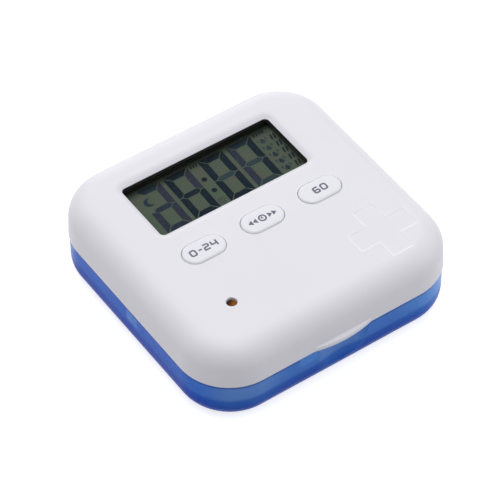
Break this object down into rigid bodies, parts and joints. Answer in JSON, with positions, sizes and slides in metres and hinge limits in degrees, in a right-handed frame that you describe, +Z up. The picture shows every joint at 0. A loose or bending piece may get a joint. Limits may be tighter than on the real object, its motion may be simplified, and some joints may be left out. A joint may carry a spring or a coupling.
{
  "type": "electronic pill box",
  "caption": "Square pill box with rounded corners: a hinged white lid with clock display, alarm light and push buttons on a translucent blue tray split into compartments.",
  "frame": {"origin": "centre of the box's bounds, on the surface it stands on", "axes": "+X to the right along the display, +Y to the hinge at the back, +Z up"},
  "size_m": [0.087, 0.0888, 0.0277],
  "materials": {
    "blue_tray": "translucent blue, smooth",
    "steel": "ground steel pin",
    "white_shell": "fine satin white",
    "white_cover": "satin white",
    "white_button": "fine satin white",
    "screw_steel": "zinc plated steel",
    "black_frame": "matt black",
    "clear_window": "clear acrylic",
    "lcd_panel": "grey-green display glass",
    "reflector": "dull reflector film",
    "holder_plastic": "plain white plastic",
    "grey_rubber": "striped contact rubber",
    "board_green": "green solder mask",
    "amber_light": "dark amber resin",
    "tinned_wire": "tinned wire",
    "buzzer_black": "black",
    "black_resin": "black resin",
    "crystal_can": "bright can",
    "chip_ceramic": "ceramic",
    "cell_steel": "nickel plated can",
    "contact_metal": "nickel plated spring strip",
    "dome_rubber": "silicone rubber"
  },
  "bodies": {
    "tray": {"base_tray": "blue_tray", "hinge_pins": "steel"},
    "lid": {"lid_shell": "white_shell", "lid_inner_cover": "white_cover", "cover_screws": "screw_steel", "display_frame": "black_frame", "display_window": "clear_window", "lcd_panel": "lcd_panel", "lcd_reflector": "reflector", "lcd_holder": "holder_plastic", "connector_strips": "grey_rubber", "circuit_board": "board_green", "board_screws": "screw_steel", "alarm_led": "amber_light", "led_leads": "tinned_wire", "buzzer": "buzzer_black", "controller_blob": "black_resin", "clock_crystal": "crystal_can", "board_parts": "chip_ceramic", "coin_cell": "cell_steel", "positive_contact": "contact_metal", "negative_contact": "contact_metal", "left_dome": "dome_rubber", "middle_dome": "dome_rubber", "right_dome": "dome_rubber"},
    "battery_door": {"battery_door": "white_cover"},
    "left_button": {"left_button": "white_button"},
    "middle_button": {"middle_button": "white_button"},
    "right_button": {"right_button": "white_button"}
  },
  "joints": [
    {"name": "lid_hinge", "type": "hinge", "parent": "tray", "child": "lid", "pos_m": [0, 0.04267, 0.01455], "axis": [-1, 0, 0], "range_deg": [0, 115]},
    {"name": "battery_door_hinge", "type": "hinge", "parent": "lid", "child": "battery_door", "pos_m": [0.014, -0.01153, 0.0149], "axis": [1, 0, 0], "range_deg": [0, 20]},
    {"name": "left_button_press", "type": "slide", "parent": "lid", "child": "left_button", "axis": [0, 0, -1], "range_m": [0, 0.0009], "stiffness_N_per_m": 1200, "springref_m": -0.0002, "deforming": ["left_dome"]},
    {"name": "middle_button_press", "type": "slide", "parent": "lid", "child": "middle_button", "axis": [0, 0, -1], "range_m": [0, 0.0009], "stiffness_N_per_m": 1200, "springref_m": -0.0002, "deforming": ["middle_dome"]},
    {"name": "right_button_press", "type": "slide", "parent": "lid", "child": "right_button", "axis": [0, 0, -1], "range_m": [0, 0.0009], "stiffness_N_per_m": 1200, "springref_m": -0.0002, "deforming": ["right_dome"]}
  ]
}
